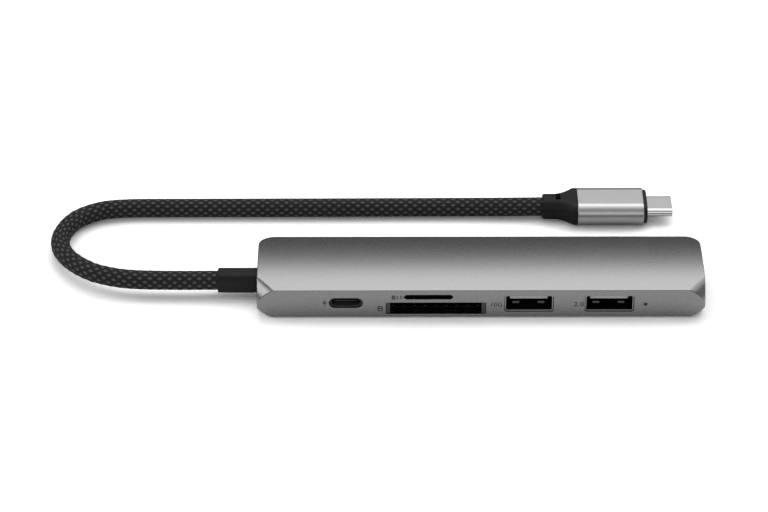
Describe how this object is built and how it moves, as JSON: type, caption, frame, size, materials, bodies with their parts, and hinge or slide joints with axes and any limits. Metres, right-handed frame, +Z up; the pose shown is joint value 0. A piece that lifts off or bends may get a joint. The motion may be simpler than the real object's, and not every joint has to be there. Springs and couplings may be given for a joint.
{
  "type": "usb hub",
  "caption": "Slim metal hub with a crowned top, card slots and ports along its front edge, and a short braided cable that ends in a reversible plug.",
  "frame": {"origin": "on the table, under the middle of the hub's housing", "axes": "+X along the hub away from its cable, -Y out of the port face, +Z up"},
  "size_m": [0.1816, 0.0549, 0.0103],
  "materials": {
    "housing_metal": "grey anodised, fine bead-blasted satin",
    "plug_metal": "grey anodised, brushed along the plug",
    "steel": "rolled sheet, plated",
    "nickel": "polished nickel",
    "gold_contacts": "gold flash",
    "black_rubber": "black, satin moulded",
    "black_plastic": "black, matte moulded",
    "grey_plastic": "light grey, matte moulded",
    "braid": "black braid with grey flecks",
    "circuit_board": "green solder mask",
    "chip_black": "moulded chip package",
    "ferrite": "pressed ferrite",
    "capacitor_case": "ochre moulded case",
    "thermal_pad": "soft grey pad",
    "smoked_lens": "smoked clear plastic",
    "wire_red": "wire insulation",
    "wire_black": "wire insulation",
    "wire_green": "wire insulation",
    "wire_white": "wire insulation"
  },
  "bodies": {
    "root": {"upper_housing": "housing_metal", "bottom_cover": "housing_metal", "foot_left": "black_rubber", "foot_right": "black_rubber", "cover_screw_1": "steel", "cover_screw_2": "steel", "cover_screw_3": "steel", "cover_screw_4": "steel", "board_screw_1": "steel", "board_screw_2": "steel", "main_board": "circuit_board", "hub_controller_chip": "chip_black", "video_chip": "chip_black", "card_reader_chip": "chip_black", "power_chip": "chip_black", "power_inductor": "ferrite", "crystal": "steel", "bulk_capacitor": "capacitor_case", "thermal_pad": "thermal_pad", "status_led": "smoked_lens", "led_light_pipe": "smoked_lens", "power_port_shell": "steel", "power_port_tongue": "black_plastic", "small_card_body": "black_plastic", "small_card_cover": "steel", "small_card_contacts": "gold_contacts", "large_card_body": "black_plastic", "large_card_cover": "steel", "large_card_contacts": "gold_contacts", "data_port_1_shell": "steel", "data_port_1_tongue": "grey_plastic", "data_port_1_contacts": "gold_contacts", "data_port_2_shell": "steel", "data_port_2_tongue": "grey_plastic", "data_port_2_contacts": "gold_contacts", "video_port_shell": "steel", "video_port_tongue": "black_plastic", "cable_strain_relief": "black_rubber", "cable_ferrule": "steel", "inner_wire_1": "wire_red", "inner_wire_2": "wire_black", "inner_wire_3": "wire_green", "inner_wire_4": "wire_white", "cable": "braid", "plug_boot": "black_rubber", "plug_shell": "plug_metal", "plug_nose_ring": "black_plastic", "plug_tip": "nickel", "plug_tip_insulator": "black_plastic", "plug_board": "circuit_board"}
  },
  "joints": []
}
